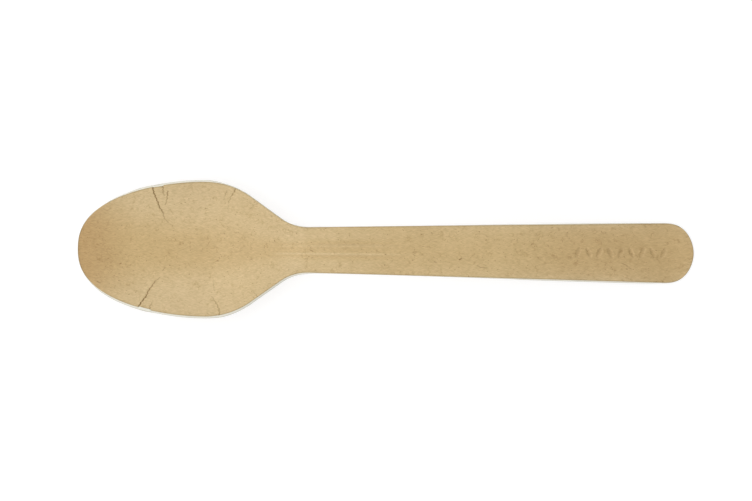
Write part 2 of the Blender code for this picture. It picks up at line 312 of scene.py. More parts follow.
CREASES = (
    # route, breadth and depth in millimetres, painted shade at the mouth and at the inner end
    (
        route((19.2, 16.2), (19.6, 14.5), (19.9, 13.7), (20.6, 12.0), (20.9, 10.9), (21.8, 9.6)),
        0.12, 0.20, 1.00, 0.62,
    ),
    (route((21.8, 9.6), (22.1, 8.1), (23.2, 6.9), (24.2, 6.0), (25.3, 4.5)), 0.11, 0.06, 0.45, 0.05),
    (route((21.8, 9.6), (22.8, 9.0)), 0.10, 0.05, 0.30, 0.05),
    (route((21.9, 16.4), (22.0, 14.9), (22.2, 13.8)), 0.11, 0.10, 0.85, 0.30),
    (route((23.1, 15.0), (23.0, 13.6), (22.7, 12.2), (22.5, 11.5)), 0.11, 0.09, 0.75, 0.30),
    (route((23.2, 10.7), (24.6, 9.3)), 0.10, 0.04, 0.20, 0.05),
    (route((41.0, 16.1), (40.2, 14.6), (39.4, 13.6), (39.2, 12.8), (38.8, 12.2)), 0.11, 0.11, 0.65, 0.35),
    (route((38.8, 12.2), (38.8, 10.6), (38.8, 8.7)), 0.10, 0.04, 0.26, 0.03),
    (route((38.5, 15.2), (37.8, 13.6), (37.6, 12.8)), 0.10, 0.05, 0.45, 0.20),
    (route((46.5, 11.9), (45.5, 11.6), (44.5, 10.4)), 0.10, 0.05, 0.38, 0.14),
    (
        route((15.8, -15.5), (16.4, -14.2), (17.3, -12.9), (17.8, -12.2), (18.2, -11.0), (19.5, -9.1)),
        0.12, 0.20, 1.00, 0.62,
    ),
    (route((19.5, -9.1), (19.9, -8.4), (21.6, -7.0)), 0.11, 0.07, 0.65, 0.15),
    (route((21.9, -5.5), (22.4, -4.7)), 0.11, 0.05, 0.55, 0.30),
    (route((18.8, -16.1), (18.8, -14.9), (19.3, -14.1), (19.5, -13.3)), 0.11, 0.08, 0.60, 0.20),
    (
        route((36.8, -17.6), (36.8, -16.1), (36.6, -15.3), (36.2, -14.4), (35.5, -13.4), (34.7, -12.2)),
        0.11, 0.12, 0.70, 0.28,
    ),
    (route((35.4, -10.8), (35.1, -9.4), (34.9, -6.9)), 0.11, 0.03, 0.28, 0.05),
    (route((46.9, -12.4), (45.8, -11.2), (44.7, -10.0)), 0.11, 0.05, 0.50, 0.12),
    (route((5.0, -8.6), (5.8, -8.9)), 0.12, 0.04, 0.60, 0.35),
    (route((60.2, 0.0), (60.9, -0.4)), 0.12, 0.03, 0.75, 0.45),
    (route((92.4, -2.8), (92.8, -2.9)), 0.12, 0.03, 0.50, 0.40),
    (route((98.8, -2.2), (99.4, -1.9)), 0.13, 0.03, 0.85, 0.60),
    (route((103.6, -3.7), (104.3, -4.1), (105.3, -4.2), (106.4, -4.1)), 0.11, 0.03, 0.45, 0.20),
    (route((141.3, -2.7), (142.5, -3.3), (143.7, -4.3)), 0.11, 0.03, 0.45, 0.20),
)
print(len(CREASES), "creases, the deepest", max(crease[2] for crease in CREASES), "mm")

# %% Distance from a crease
JAG = 0.09 * MM
JAG_LENGTH = 0.95 * MM
JAG_OVERTONE = 0.6
JAG_OVERTONE_TURNS = 1.83
JAG_OVERTONE_START = 1.0


def jagged(y):
    """Sideways wander of a crack in the liner, which never runs straight."""
    turn = 2 * math.pi * y / JAG_LENGTH
    overtone = JAG_OVERTONE * math.sin(JAG_OVERTONE_TURNS * turn + JAG_OVERTONE_START)
    return JAG * (math.sin(turn) + overtone)


def nearest_on(points, x, y):
    """Distance from (x, y) to a route, and how far along the route the nearest place is, from 0 to 1."""
    best = (1.0, 0.0)
    lengths = [math.dist(a, b) for a, b in zip(points, points[1:])]
    gone = 0.0
    for (ax, ay), (bx, by), length in zip(points, points[1:], lengths):
        t = ((x - ax) * (bx - ax) + (y - ay) * (by - ay)) / length**2
        t = min(max(t, 0.0), 1.0)
        off = math.hypot(x - ax - t * (bx - ax), y - ay - t * (by - ay))
        best = min(best, (off, (gone + t * length) / sum(lengths)))
        gone += length
    return best


clear_of_first = nearest_on(CREASES[0][0], WIDEST_AT, 0.0)[0]
print("the middle of the bowl is", round(clear_of_first / MM, 1), "mm from the first crease")

# %% Depth and painted shade of the creases
CREASE_LIP = 0.18
CREASE_LIP_OFF = 0.30 * MM
CREASE_REACH = 5


def crease_at(x, y):
    """How deep the creases cut at a place on the face, and how much painted shade darkens them there."""
    deep, dark = 0.0, 0.0
    for points, breadth, depth, mouth, tail in CREASES:
        reach = CREASE_REACH * breadth * MM
        if not min(p[0] for p in points) - reach < x < max(p[0] for p in points) + reach:
            continue
        if not min(p[1] for p in points) - reach < y < max(p[1] for p in points) + reach:
            continue
        off, along = nearest_on(points, x + jagged(y), y)
        groove = math.exp(-((off / (breadth * MM)) ** 2))
        lip = CREASE_LIP * math.exp(-(((off - CREASE_LIP_OFF) / CREASE_LIP_OFF) ** 2))
        fading = mouth + (tail - mouth) * along
        deep = max(deep, 0.0) + depth * MM * fading / mouth * (groove - lip)
        dark = max(dark, fading * groove)
    return deep, dark


print("the first crease is", round(crease_at(*CREASES[0][0][1])[0] / MM, 2), "mm deep near the rim")

# %% [markdown]
# ## Where the liner has drawn back
#
# Between two creases the brown liner is pulled in from the cut edge, and more of the white core shows. In
# the mesh that is a step in the outline of the upper face alone: the lower face keeps its outline, so the
# cut edge between them gets wider there, as on the real rim. The cut is not quite square to the board either:
# along the shoulders it leans, so one side shows a broad pale edge and the other hardly any. There the lower
# outline goes in or out by a little, and fades in and out slowly.

# %% Drawn-back rim
DRAWN_BACK = (
    # from, to, side, how far at the start and at the end
    (19.3 * MM, 21.95 * MM, 1, 0.12 * MM, 0.24 * MM),
    (15.9 * MM, 18.9 * MM, -1, 0.28 * MM, 0.22 * MM),
)
DRAWN_STEP = 0.20 * MM


def drawn_back(x, side):
    """How far the upper face's outline is pulled in at a place on one side."""
    for start, stop, which, first, last in DRAWN_BACK:
        if which * side > 0 and start - DRAWN_STEP < x < stop + DRAWN_STEP:
            t = (x - start) / (stop - start)
            inside = ease((x - start) / DRAWN_STEP + 1) * ease((stop - x) / DRAWN_STEP + 1)
            return inside * (first + (last - first) * t)
    return 0.0


print(len(DRAWN_BACK), "places where the liner has drawn back")

# %% Leaning cut
LEANING_CUT = (
    # from, to, side, how far the lower outline goes out
    (1.0 * MM, 9.0 * MM, 1, -0.12 * MM),
    (12.0 * MM, 21.0 * MM, 1, 0.12 * MM),
    (-3.0 * MM, 21.0 * MM, -1, 0.20 * MM),
    (34.0 * MM, 58.0 * MM, 1, -0.17 * MM),
    (34.0 * MM, 62.0 * MM, -1, 0.20 * MM),
    (112.0 * MM, 152.0 * MM, 1, -0.06 * MM),
    (112.0 * MM, 152.0 * MM, -1, 0.08 * MM),
)
LEAN_FADE = 4.0 * MM
NORMAL_STEP = 0.05 * MM


def out_of_outline(x, side):
    """Unit direction out of the outline at a place on one side."""
    narrower = (half_width(x - NORMAL_STEP) - half_width(x + NORMAL_STEP)) / (2 * NORMAL_STEP)
    return Vector((narrower, math.copysign(1.0, side), 0.0)).normalized()


def leaning_cut(x, side):
    """How the lower face's outline goes out at a place on one side."""
    out = 0.0
    for start, stop, which, far in LEANING_CUT:
        if which * side > 0:
            out += far * ease((x - start) / LEAN_FADE) * ease((stop - x) / LEAN_FADE)
    return out_of_outline(x, side) * out


print("the cut leans out by", round(leaning_cut(WIDEST_AT, -1).length / MM, 2), "mm beside the widest place")

# %% [markdown]
# ## Pressed marks on the handle
#
# Near its end the handle carries a row of plain grains pressed into the face, leaning to either side in
# turn. They are shallow, with soft shoulders, because the die meets paper and not metal.

# %% Grain row
GRAIN_ROW = 23.0 * MM
GRAIN_ROW_BEFORE_END = 7.5 * MM
GRAIN_PITCH = 2.8 * MM
GRAIN_LENGTH = 3.0 * MM
GRAIN_WIDTH = 1.2 * MM
GRAIN_DEPTH = 0.18 * MM
GRAIN_LEAN = math.radians(24)
GRAIN_SHOULDER = 0.6

grain_count = int(GRAIN_ROW / GRAIN_PITCH) + 1
first_grain_at = LENGTH - GRAIN_ROW_BEFORE_END - (GRAIN_ROW + (grain_count - 1) * GRAIN_PITCH) / 2


def grain_depth(x, y):
    """How deep the row of grains is pressed at a place on the handle."""
    number = round((x - first_grain_at) / GRAIN_PITCH)
    if not 0 <= number < grain_count:
        return 0.0
    lean = GRAIN_LEAN if number % 2 else -GRAIN_LEAN
    dx = x - first_grain_at - number * GRAIN_PITCH
    across = dx * math.cos(lean) + y * math.sin(lean)
    along = y * math.cos(lean) - dx * math.sin(lean)
    off = (2 * across / GRAIN_WIDTH) ** 2 + (2 * along / GRAIN_LENGTH) ** 2
    return GRAIN_DEPTH * max(0.0, 1 - off) ** GRAIN_SHOULDER


print(grain_count, "grains in the row")

# %% [markdown]
# ## The flat blank
#
# The blank starts as Blender's grid. Its long rows follow the outline, and its first and last lines are
# bent to the nose and to the end, so no row ends in a pinched point. The lines stand closer together in
# the bowl and at the end of the handle, where there is more to show. Only round the creases and the grains
# is the grid divided further, so a groove a quarter of a millimetre wide gets two or three points across it.

# %% Grid of the blank
GRID_ZONES = (
    # from, to, distance between lines
    (0.0, neck_at, 0.33 * MM),
    (neck_at, 127.0 * MM, 0.75 * MM),
    (127.0 * MM, LENGTH, 0.36 * MM),
)
ROWS = 88
NOSE_CORNER = 0.62
END_CORNER = 0.80
NOSE_BOW = 24.0 * MM
END_BOW = 12.0 * MM


def grid_stations():
    """Distance along the blank of each line of the grid."""
    stations = [0.0]
    for start, stop, step in GRID_ZONES:
        count = round((stop - start) / step)
        stations += [start + (stop - start) * (i + 1) / count for i in range(count)]
    return stations


stations = grid_stations()
print("the blank has", len(stations), "lines and", ROWS + 1, "rows")


# %% Places on the blank
def nose_depth(y):
    """How far behind the tip the nose's outline lies at a distance from the middle."""
    share = (1 - (y / BOWL_HALF_WIDTH) ** NOSE_BLUNTNESS) ** (1 / NOSE_FULLNESS)
    return WIDEST_AT * (1 - share)


def end_depth(y):
    """How far before the end of the handle its outline lies at a distance from the middle."""
    share = (1 - (y / HANDLE_HALF_WIDTH) ** END_BLUNTNESS) ** (1 / END_FULLNESS)
    return END_LENGTH * (1 - share)


def blank_point(station, v):
    """Place on the blank of a grid point, v from -1 to 1 across it."""
    nose = max(0.0, 1 - station / NOSE_BOW) ** 2
    end = max(0.0, 1 - (LENGTH - station) / END_BOW) ** 2

    def bent(share):
        nose_part = nose * nose_depth(share * NOSE_CORNER * BOWL_HALF_WIDTH)
        return station + nose_part - end * end_depth(share * END_CORNER * HANDLE_HALF_WIDTH)

    return bent(abs(v)), v * half_width(bent(1.0))


print("its first corner lies", round(blank_point(0.0, 1.0)[0] / MM, 1), "mm behind the tip")

# %% Where the grid is divided
DIVIDED_WITHIN = 0.45 * MM
DIVIDED_CUTS = 2
CREASE_SPAN = 10.0 * MM


def near_detail(x, y):
    """Whether a crease or a grain lies close to a place on the blank."""
    for points, *_ in CREASES:
        if abs(x - points[0][0]) < CREASE_SPAN and nearest_on(points, x, y)[0] < DIVIDED_WITHIN:
            return True
    return grain_depth(x, y) > 0


print("the grid is divided within", DIVIDED_WITHIN / MM, "mm of a crease")

# %% [markdown]
# ## Press it and give it the board's thickness
#
# Each point of the blank goes to its pressed height, and a Solidify modifier then lays the board under it at
# an even thickness, with the cut edge square to the sheet and in a material slot of its own. Solidify keeps
# the face's points first and adds their twins after them, so each point still knows its place on the blank.
# That place is needed once more: the bead, the creases, the drawn-back rim and the grains go in last, on the
# finished shell, because a bend tighter than the board is thick would tangle if it were there when Solidify
# runs.

# %% Press the blank
def on_the_grid(co):
    """Distance along the blank and share across it of a point of the square grid."""
    along = (co.x + 1) / 2 * (len(stations) - 1)
    line = min(int(along), len(stations) - 2)
    station = stations[line] + (stations[line + 1] - stations[line]) * (along - line)
    return station, co.y


def pressed_blank():
    """The grid at its pressed height, with the place on the blank of each of its points."""
    sheet = bmesh.new()
    bmesh.ops.create_grid(sheet, x_segments=len(stations) - 1, y_segments=ROWS, size=1.0)
    for face in sheet.faces:
        face.tag = near_detail(*blank_point(*on_the_grid(face.calc_center_median())))
    edges = [edge for edge in sheet.edges if any(face.tag for face in edge.link_faces)]
    bmesh.ops.subdivide_edges(sheet, edges=edges, cuts=DIVIDED_CUTS, use_grid_fill=True)
    places = []
    for vert in sheet.verts:
        station, v = on_the_grid(vert.co)
        x, y = blank_point(station, v)
        vert.co = (x, y, pressed_height(x, y))
        places.append((x, y, abs(v), min(station, LENGTH - station)))
    mesh = bpy.data.meshes.new("pressed_blank")
    sheet.to_mesh(mesh)
    sheet.free()
    return mesh, places


blank_mesh, places = pressed_blank()
print("the pressed blank has", len(places), "points")


# %% Give it the board's thickness
def with_thickness(mesh):
    """The sheet's mesh as a board, the cut edge in material slot 1."""
    blank = bpy.data.objects.new("blank", mesh)
    bpy.context.scene.collection.objects.link(blank)
    for _ in ("liner", "core"):
        mesh.materials.append(None)
    board = blank.modifiers.new("board", "SOLIDIFY")
    board.thickness = BOARD
    board.offset = -1.0
    board.use_even_offset = True
    board.use_quality_normals = True
    board.material_offset_rim = 1
    shell = bpy.data.meshes.new_from_object(blank.evaluated_get(bpy.context.evaluated_depsgraph_get()))
    bpy.data.objects.remove(blank)
    return shell


shell = with_thickness(blank_mesh)
print("the board has", len(shell.vertices), "points on its two faces")

# %% [markdown]
# ## Put in the bead, the creases, the drawn-back rim and the grains
#
# The bead lifts both faces alike. In the creases and grains, the upper points sink along the sheet's own
# normal. Under a crease the lower liner is drawn up into the board by less than half of that, and under a
# grain it stays flat. Three numbers are stored on each point for the finish: how much painted shade darkens
# the creases and grains there, how much painted sheen lightens the face, and how close the point is to the
# outline, along which a line of painted shade runs. The painted sheen goes where the shape would catch the
# light: on the steep walls, on the shoulders of the neck, along the two crests of its bead and towards the
# edges of the handle.

# %% Where the painted sheen goes
# painted sheen: the walls steep enough to take it, the bead's shoulders and crests, and the handle
CLIMB_STEP = 0.2 * MM
GENTLE_CLIMB = 0.06
STEEP_CLIMB = 0.38
NECK_SHOULDER_SHEEN = 0.70
NECK_SHOULDER = 1.8 * MM
HANDLE_EDGE_SHEEN = 0.68
HANDLE_MIDDLE_SHEEN = 0.12
CREST_OFF = 0.95 * MM
CREST_BREADTH = 0.22 * MM
NEAR_CREST_HIGHLIGHT = 1.15
FAR_CREST_HIGHLIGHT = 0.45


def painted_sheen_at(x, y):
    """Painted sheen at a place: 0 where there is none, 1 or more where the shape would catch most light."""
    inner, outer = max(abs(y) - CLIMB_STEP, 0.0), abs(y)
    climb = (pressed_height(x, outer) - pressed_height(x, inner)) / CLIMB_STEP
    wall = ease((climb - GENTLE_CLIMB) / (STEEP_CLIMB - GENTLE_CLIMB))
    beside = NECK_SHOULDER_SHEEN * ease((abs(y) - BEAD_HALF_WIDTH - BEAD_SIDE) / NECK_SHOULDER)
    crest = math.exp(-(((abs(y) - CREST_OFF) / CREST_BREADTH) ** 2))
    crest *= FAR_CREST_HIGHLIGHT if y > 0 else NEAR_CREST_HIGHLIGHT
    edges = HANDLE_MIDDLE_SHEEN + (HANDLE_EDGE_SHEEN - HANDLE_MIDDLE_SHEEN) * share_across(x, y) ** 2
    handle = edges * ease((x - neck_at - BEAD_BEHIND) / BEAD_RUN_OUT)
    return max(wall, bead_run(x) * beside, bead_run(x) * crest, handle)


print("the wall of the bowl is rubbed", round(painted_sheen_at(WIDEST_AT, BOWL_HALF_WIDTH / 2), 2), "half-way up")

# %% Fine relief
# width of the painted shade line along the outline
RIM_LINE = 0.35 * MM
DRAWN_FALL = 8
UNDERSIDE_SHARE = 0.45
GRAIN_SHADE = 0.13


def cut_relief(mesh):
    """Raises the bead, sinks the creases and grains, and stores what the finish needs to know."""
    shade = mesh.attributes.new("crease_shade", "FLOAT", "POINT").data
    painted_sheen = mesh.attributes.new("painted_sheen", "FLOAT", "POINT").data
    rim = mesh.attributes.new("rim_line", "FLOAT", "POINT").data
    sheet_normals = [vert.normal.copy() for vert in blank_mesh.vertices]
    upper = len(places)
    for index, (x, y, v, from_end) in enumerate(places):
        deep, dark = crease_at(x, y)
        pressed = grain_depth(x, y)
        # the grains take painted shade as well
        dark = max(dark, GRAIN_SHADE * pressed / GRAIN_DEPTH)
        pulled = drawn_back(x, y) * v**DRAWN_FALL
        off_rim = min((1 - v) * half_width(x), from_end)
        face, twin = mesh.vertices[index], mesh.vertices[index + upper]
        twin.co += leaning_cut(x, y) * v**DRAWN_FALL
        if pulled:
            y -= math.copysign(pulled, y)
            face.co = (x, y, pressed_height(x, y))
        raised = Vector((0.0, 0.0, bead(x, y)))
        face.co += raised - sheet_normals[index] * (deep + pressed)
        twin.co += raised + sheet_normals[index] * deep * UNDERSIDE_SHARE
        # painted shade in the creases and grains, less of it on the lower face
        shade[index].value = dark
        shade[index + upper].value = dark * UNDERSIDE_SHARE
        # painted sheen, the same on both faces
        painted_sheen[index].value = painted_sheen[index + upper].value = painted_sheen_at(x, y)
        # painted shade line along the outline, on both faces
        rim[index].value = rim[index + upper].value = max(0.0, 1 - off_rim / RIM_LINE)


cut_relief(shell)
print("stored on each point:", [made.name for made in shell.attributes if made.domain == "POINT"])

# %% [markdown]
# ## The cut edge
#
# A steel rule shears the board, and the fibres spring back a little, so the cut is not a sharp flat band but
# slightly round. The rim's upright edges are divided and the new points pushed out a few hundredths of a
# millimetre. The share of the thickness that each point lies at is kept as an attribute, so that the
# material can draw the plies.

# %% Round the cut edge
EDGE_CUTS = 5
EDGE_BULGE = 0.06 * MM
EDGE_ROUNDNESS = 3


def round_cut_edge(mesh):
    """Divides the rim into bands, rounds it and stores how deep in the board each point lies."""
    upper = len(places)
    shell_mesh = bmesh.new()
    shell_mesh.from_mesh(mesh)
    shell_mesh.verts.ensure_lookup_table()
    ply = shell_mesh.verts.layers.float.new("ply")
    for vert in shell_mesh.verts:
        vert[ply] = 0.0 if vert.index < upper else 1.0
    uprights = []
    for edge in shell_mesh.edges:
        on_rim = all(face.material_index == 1 for face in edge.link_faces)
        if on_rim and edge.verts[0][ply] != edge.verts[1][ply]:
            uprights.append(edge)
    bmesh.ops.subdivide_edges(shell_mesh, edges=uprights, cuts=EDGE_CUTS)
    shell_mesh.normal_update()
    bands = [vert for vert in shell_mesh.verts if 0.0 < vert[ply] < 1.0]
    for vert in bands:
        vert.co += vert.normal * EDGE_BULGE * (1 - abs(2 * vert[ply] - 1) ** EDGE_ROUNDNESS)
    shell_mesh.to_mesh(mesh)
    shell_mesh.free()
    return len(uprights), len(bands)


upright_count, band_count = round_cut_edge(shell)
print("the cut edge has", upright_count, "uprights and", band_count, "points between them")

# %% [markdown]
# ## Set the spoon on its frame
#
# The mesh has been made from the tip of its face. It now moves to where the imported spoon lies: the tip of
# the face is a little behind the lowest corner of the box, because the board's edge slopes out under it.

# %% Place the spoon
SMOOTH_BELOW = math.radians(58)

tip_x = spoon_low.x + BOARD * math.sin(math.atan(TIP_SLOPE))
for vert in shell.vertices:
    vert.co.x += tip_x
shell.shade_smooth()
shell.set_sharp_from_angle(angle=SMOOTH_BELOW)
shell.name = "pressed_spoon"
spoon = bpy.data.objects.new("pressed_spoon", shell)
bpy.context.scene.collection.objects.link(spoon)
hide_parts("spoon")
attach(spoon, "root")
triangles = sum(len(face.vertices) - 2 for face in shell.polygons)
print("the spoon has", triangles, "triangles")

# %% [markdown]
# ## Finishes: shared paper effects
#
# Seen close, paper is a felt of fibres. Both finishes of the spoon, the brown liner and the white core, show
# it, so it is a node group: noise stretched along two directions, because fibres lie across each other.
# The other groups draw short curled hairlines, the tiny wrinkles that the press leaves in a liner, specks of
# bark, and slow blotches. Each takes the place on the object in metres and gives a value that varies over it.
# A few helpers come first, which make a node, link it, and give back what it puts out.

# %% Node helpers
# a Mix node has a pair of inputs for each kind of value, and these are the places of its colours
MIX_A, MIX_B, MIX_RESULT = 6, 7, 2


def node(tree, kind, **settings):
    """A new node with its properties set."""
    made = tree.nodes.new(kind)
    for name, value in settings.items():
        setattr(made, name, value)
    return made


def feed(tree, socket, source):
    """Gives an input socket a link, or a plain number or colour."""
    if isinstance(source, bpy.types.NodeSocket):
        tree.links.new(source, socket)
    else:
        socket.default_value = source


def maths(tree, operation, first, second=0.0, third=0.0, clamp=False):
    """The result of a Math node."""
    made = node(tree, "ShaderNodeMath", operation=operation, use_clamp=clamp)
    for socket, source in zip(made.inputs, (first, second, third)):
        feed(tree, socket, source)
    return made.outputs[0]


def blend_colours(tree, share, first, second, blend="MIX"):
    """The first colour with a share of the second laid over it."""
    made = node(tree, "ShaderNodeMix", data_type="RGBA", blend_type=blend)
    feed(tree, made.inputs["Factor"], share)
    feed(tree, made.inputs[MIX_A], first)
    feed(tree, made.inputs[MIX_B], second)
    return made.outputs[MIX_RESULT]


print("a Mix node's colours are at", MIX_A, MIX_B, "and its result at", MIX_RESULT)


# %% Helpers for textures and materials
def noise_at(tree, place, scale, detail):
    """The value of a Noise texture."""
    made = node(tree, "ShaderNodeTexNoise")
    feed(tree, made.inputs["Vector"], place)
    feed(tree, made.inputs["Scale"], scale)
    feed(tree, made.inputs["Detail"], detail)
    return made.outputs["Fac"]


def bump_normal(tree, distance, height):
    """The normal that a Bump node makes of a height."""
    made = node(tree, "ShaderNodeBump")
    feed(tree, made.inputs["Strength"], 1.0)
    feed(tree, made.inputs["Distance"], distance)
    feed(tree, made.inputs["Height"], height)
    return made.outputs["Normal"]


def new_material(name):
    """A material with its node tree and its Principled BSDF."""
    made = bpy.data.materials.new(name)
    made.use_nodes = True
    return made, made.node_tree, made.node_tree.nodes["Principled BSDF"]


print("materials so far:", len(bpy.data.materials))


# %% Helpers for node groups
def new_group(name, inputs, outputs):
    """An empty node group: inputs as (name, default), an output for each name."""
    tree = bpy.data.node_groups.new(name, "ShaderNodeTree")
    tree.interface.new_socket(name="Place", in_out="INPUT", socket_type="NodeSocketVector")
    for label, default in inputs:
        socket = tree.interface.new_socket(name=label, in_out="INPUT", socket_type="NodeSocketFloat")
        socket.default_value = default
    for label in outputs:
        tree.interface.new_socket(name=label, in_out="OUTPUT", socket_type="NodeSocketFloat")
    return tree, tree.nodes.new("NodeGroupInput").outputs, tree.nodes.new("NodeGroupOutput").inputs


def use_group(tree, group, place, **values):
    """Places a group in a material with its own values, and gives its outputs."""
    made = node(tree, "ShaderNodeGroup", node_tree=group)
    tree.links.new(place, made.inputs["Place"])
    for name, value in values.items():
        made.inputs[name].default_value = value
    return made.outputs


print("node groups so far:", len(bpy.data.node_groups))

# %% Fibre felt
FIBRE_TURNS = (math.radians(-16), math.radians(20))


def fibre_group():
    """Noise drawn out along two crossing directions, around 0.5."""
    tree, given, out = new_group("fibre_felt", [("Length", 0.8), ("Breadth", 0.3)], ["Felt"])
    felts = []
    for turn in FIBRE_TURNS:
        turned = node(tree, "ShaderNodeVectorRotate", rotation_type="Z_AXIS")
        feed(tree, turned.inputs["Vector"], given["Place"])
        feed(tree, turned.inputs["Angle"], turn)
        grain = node(tree, "ShaderNodeCombineXYZ")
        for socket, size in zip(grain.inputs, ("Length", "Breadth", "Breadth")):
            feed(tree, socket, maths(tree, "DIVIDE", 1 / MM, given[size]))
        scaled = node(tree, "ShaderNodeVectorMath", operation="MULTIPLY")
        feed(tree, scaled.inputs[0], turned.outputs[0])
        feed(tree, scaled.inputs[1], grain.outputs[0])
        felts.append(noise_at(tree, scaled.outputs[0], 1.0, 2.0))
    feed(tree, out["Felt"], maths(tree, "MULTIPLY", maths(tree, "ADD", *felts), 0.5))
    return tree


FIBRES = fibre_group()
print("made", FIBRES.name)

# %% Hairline wrinkles
PATCH_SCALE = 0.9
PATCH_EDGE = 10.0


def wrinkle_group():
    """Short curled hairlines: 1 on a line, 0 off it."""
    sizes = [("Curl", 1.0), ("Line", 0.06), ("Sparse", 0.55)]
    tree, given, out = new_group("hairline_wrinkles", sizes, ["Line"])
    scale = maths(tree, "DIVIDE", 1 / MM, given["Curl"])
    levels = noise_at(tree, given["Place"], scale, 1.0)
    off = maths(tree, "ABSOLUTE", maths(tree, "SUBTRACT", levels, 0.5))
    line = maths(tree, "SUBTRACT", 1.0, maths(tree, "DIVIDE", off, given["Line"]), clamp=True)
    patches = noise_at(tree, given["Place"], maths(tree, "MULTIPLY", scale, PATCH_SCALE), 0.0)
    shown = maths(tree, "SUBTRACT", patches, given["Sparse"])
    shown = maths(tree, "MULTIPLY", shown, PATCH_EDGE, clamp=True)
    feed(tree, out["Line"], maths(tree, "MULTIPLY", line, shown))
    return tree


WRINKLES = wrinkle_group()
print("made", WRINKLES.name)

# %% Dark specks
SPECK_EDGE = 16.0


def speck_group():
    """Small dark specks of bark in the pulp: 1 on a speck, 0 off it."""
    tree, given, out = new_group("bark_specks", [("Size", 0.5), ("Sparse", 0.7)], ["Speck"])
    noise = noise_at(tree, given["Place"], maths(tree, "DIVIDE", 1 / MM, given["Size"]), 1.0)
    above = maths(tree, "SUBTRACT", noise, given["Sparse"])
    feed(tree, out["Speck"], maths(tree, "MULTIPLY", above, SPECK_EDGE, clamp=True))
    return tree


SPECKS = speck_group()
print("made", SPECKS.name)


# %% Slow blotches
def blotch_group():
    """Soft cloudy variation around 0.5."""
    tree, given, out = new_group("paper_blotches", [("Size", 8.0)], ["Cloud"])
    scale = maths(tree, "DIVIDE", 1 / MM, given["Size"])
    feed(tree, out["Cloud"], noise_at(tree, given["Place"], scale, 3.0))
    return tree


BLOTCHES = blotch_group()
print("made", BLOTCHES.name)

# %% [markdown]
# ## The kraft liner
#
# Kraft is unbleached, so its colour is the pulp's own: warm brown, never even, with darker and paler fibres,
# tiny specks and pressing wrinkles. Painted sheen makes it paler on the steep walls, the shoulders and crests
# of the bead and the edges of the handle; a line of painted shade darkens it along the outline; and a crease
# is painted dark and is dull. Towards the tip and over the end of the handle painted shade makes it darker
# and a little browner, where the light falls off. The rest is calendered, so it is not quite dull. The mesh
# stores three of these as a number on each point, and the material reads them.

# %% Kraft colours
KRAFT = (0.549, 0.393, 0.181, 1.0)
# paler, less brown colour of the painted sheen
KRAFT_PAINTED_SHEEN = (0.690, 0.550, 0.318, 1.0)
# darker, browner colour of the painted shade at the tip and the end of the handle
KRAFT_IN_PAINTED_SHADE = (0.457, 0.291, 0.118, 1.0)
# near-black brown of the painted shade in the creases and grains
KRAFT_CREASE_SHADE = (0.115, 0.050, 0.000, 1.0)
DARK_FIBRES = (0.78, 0.75, 0.68, 1.0)
PALE_FIBRES = (1.20, 1.23, 1.33, 1.0)
SPECK = (0.60, 0.52, 0.38, 1.0)
WRINKLE = (0.84, 0.80, 0.72, 1.0)
# painted shade along the outline, where the face turns over into the cut edge
KRAFT_RIM_SHADE = (0.66, 0.64, 0.58, 1.0)
print("the plain liner has", round(KRAFT[0] / KRAFT[1], 2), "times as much red as green")

# %% Where the liner carries painted shade at its ends
# painted shade towards the tip and over the end of the handle, where the light falls off
PAINTED_SHADE_AT_ENDS = (
    # from, full at, share
    (-62 * MM, -83 * MM, 1.0),
    (33 * MM, 53 * MM, 0.36),
)
print(len(PAINTED_SHADE_AT_ENDS), "shaded ends")


def painted_end_shade(tree, place):
    """Share of painted shade: 0 along the spoon, rising towards its tip and over the end of its handle."""
    along = node(tree, "ShaderNodeSeparateXYZ")
    feed(tree, along.inputs[0], place)
    shares = []
    for start, full, share in PAINTED_SHADE_AT_ENDS:
        spread = node(tree, "ShaderNodeMapRange", interpolation_type="SMOOTHSTEP")
        feed(tree, spread.inputs["Value"], along.outputs["X"])
        feed(tree, spread.inputs["From Min"], start)
        feed(tree, spread.inputs["From Max"], full)
        feed(tree, spread.inputs["To Max"], share)
        shares.append(spread.outputs[0])
    return maths(tree, "ADD", *shares)


# %% The liner's colour over the spoon
FELT_CONTRAST = 1.7
CLOUD_CONTRAST = 0.45
# how far full painted sheen takes the liner towards its sheen colour
PAINTED_SHEEN_SHARE = 0.38


def attribute(tree, name):
    """A number that the mesh stores on its points."""
    return node(tree, "ShaderNodeAttribute", attribute_name=name).outputs["Fac"]


